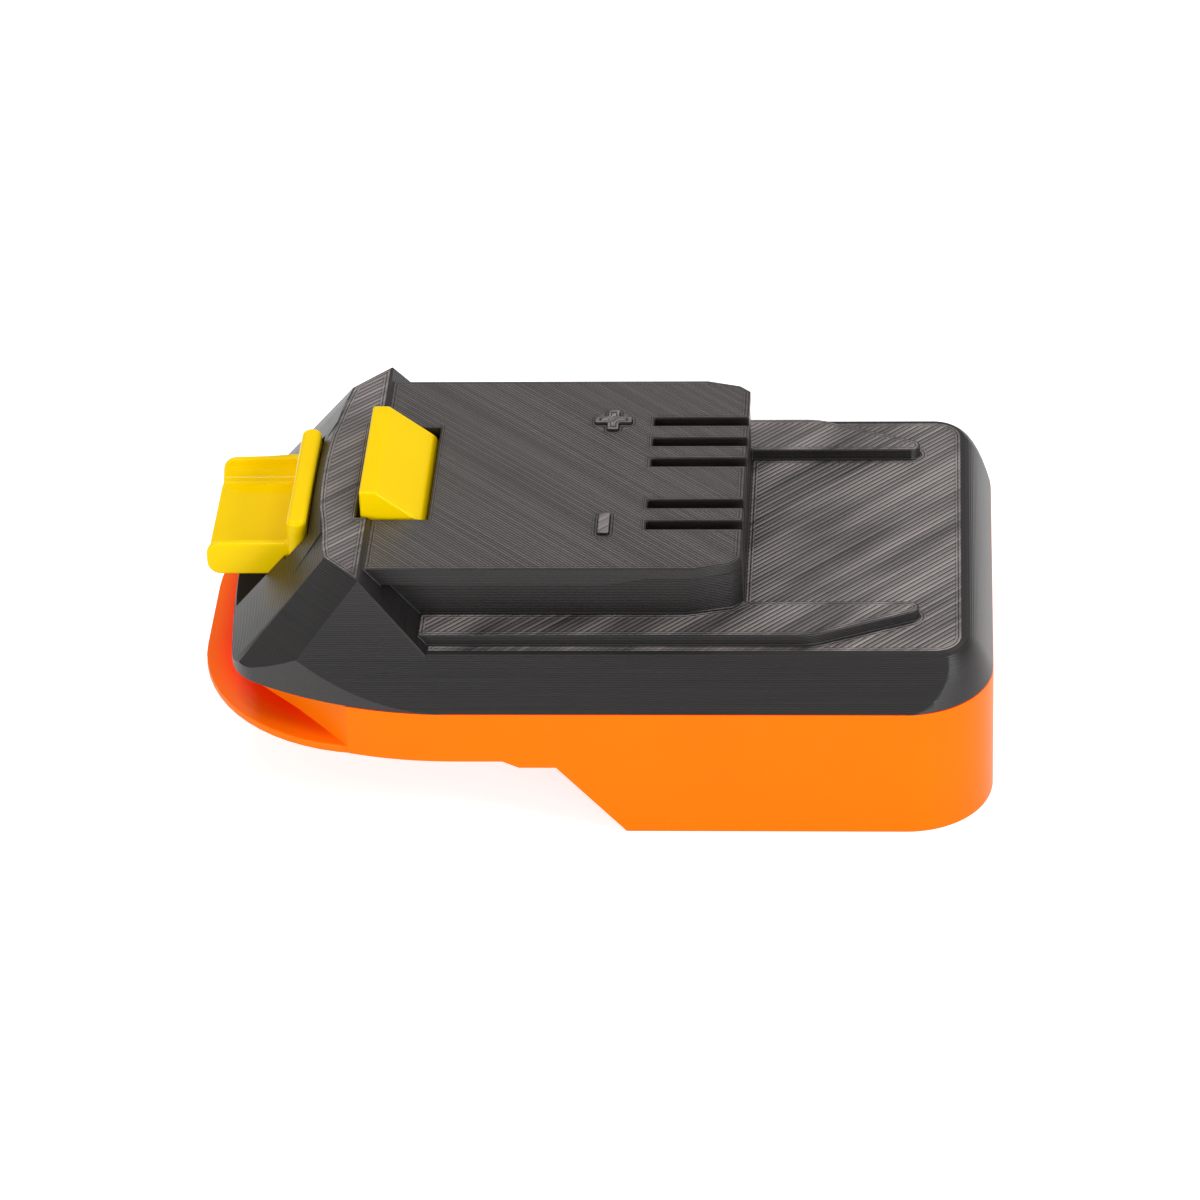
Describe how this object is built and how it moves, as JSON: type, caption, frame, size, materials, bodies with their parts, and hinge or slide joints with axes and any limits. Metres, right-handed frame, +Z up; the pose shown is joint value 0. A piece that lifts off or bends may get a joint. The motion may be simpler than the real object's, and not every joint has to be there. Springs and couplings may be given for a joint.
{
  "type": "tool battery adapter",
  "caption": "Two-shell adapter with a slotted tool rail and a sprung release latch on top, and a battery socket with contact blades underneath.",
  "frame": {"origin": "middle of the outer box, on the lowest plane", "axes": "+X from the latch end to the square end, +Z up, out of the tool rail"},
  "size_m": [0.1186, 0.0744, 0.0435],
  "materials": {
    "black_print": "printed, fine raster lines",
    "orange_print": "printed, fine layer lines",
    "yellow_plastic": "glossy moulding",
    "spring_steel": "bright wire",
    "carrier_plastic": "satin",
    "contact_brass": "bright sheet",
    "screw_steel": "zinc plated",
    "holder_plastic": "satin",
    "blade_metal": "tin plated",
    "wire_red": "satin insulation",
    "wire_black": "satin insulation",
    "wire_white": "satin insulation"
  },
  "bodies": {
    "adapter": {"top_shell": "black_print", "bottom_shell": "orange_print", "near_latch_spring": "spring_steel", "far_latch_spring": "spring_steel", "clip_carrier": "carrier_plastic", "positive_clip": "contact_brass", "negative_clip": "contact_brass", "signal_clip": "contact_brass", "carrier_screws": "screw_steel", "blade_holder": "holder_plastic", "positive_blade": "blade_metal", "negative_blade": "blade_metal", "signal_blade": "blade_metal", "holder_screws": "screw_steel", "positive_wire": "wire_red", "negative_wire": "wire_black", "signal_wire": "wire_white", "threaded_inserts": "contact_brass", "shell_screws": "screw_steel"},
    "latch": {"release_latch": "yellow_plastic"}
  },
  "joints": [
    {"name": "latch_press", "type": "slide", "parent": "adapter", "child": "latch", "axis": [0, 0, -1], "range_m": [0, 0.0046], "stiffness_N_per_m": 800, "springref_m": -0.003, "deforming": ["near_latch_spring", "far_latch_spring"]}
  ]
}
